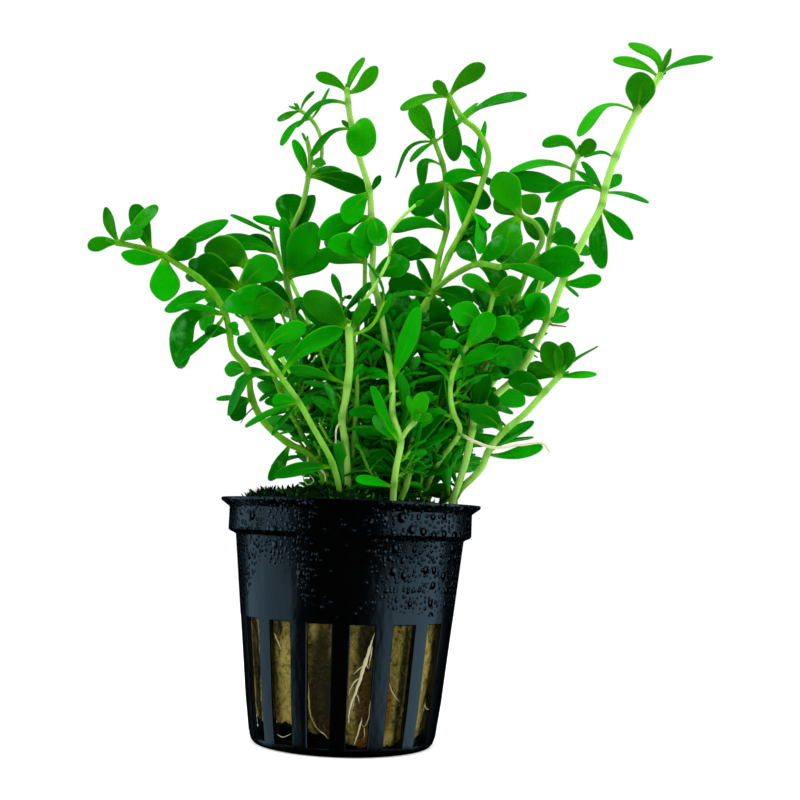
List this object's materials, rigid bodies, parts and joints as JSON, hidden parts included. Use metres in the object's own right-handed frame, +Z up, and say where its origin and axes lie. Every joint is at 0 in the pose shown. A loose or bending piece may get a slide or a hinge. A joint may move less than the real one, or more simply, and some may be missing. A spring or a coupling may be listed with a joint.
{
  "type": "potted aquarium plant",
  "caption": "Compact water hyssop: a bunch of upright green shoots with small spoon-shaped leaves, rooted in rockwool inside a black slotted net pot",
  "frame": {"origin": "The centre of the net pot's flat underside, on the pot's axis", "axes": "+Z up along the pot's axis, +X to the viewer's right, +Y away from the viewer in the view that the picture shows"},
  "size_m": [0.1333, 0.0772, 0.1555],
  "materials": {
    "pot_plastic": "black satin, wet",
    "rockwool": "matte fibre",
    "moss": "matte strands",
    "root": "matte",
    "plant": "satin leaf"
  },
  "bodies": {
    "root": {"net_pot": "pot_plastic", "rockwool_plug": "rockwool", "moss_tuft": "moss", "root_white": "root", "root_white_low": "root", "root_golden": "root", "shoot_right_tall": "plant", "shoot_right_second": "plant", "shoot_right_round": "plant", "shoot_right_low": "plant", "shoot_right_inner": "plant", "shoot_centre_right": "plant", "shoot_centre_tall": "plant", "shoot_left_upper": "plant", "shoot_left_long": "plant", "shoot_left_thick": "plant", "shoot_left_second": "plant", "shoot_centre_thick": "plant", "shoot_centre_thin": "plant", "shoot_middle_left": "plant", "shoot_middle_right": "plant", "shoot_side_right": "plant", "shoot_back_right": "plant", "shoot_back_right_low": "plant", "shoot_back": "plant", "shoot_back_middle": "plant", "shoot_back_left": "plant", "shoot_back_left_low": "plant"}
  },
  "joints": []
}
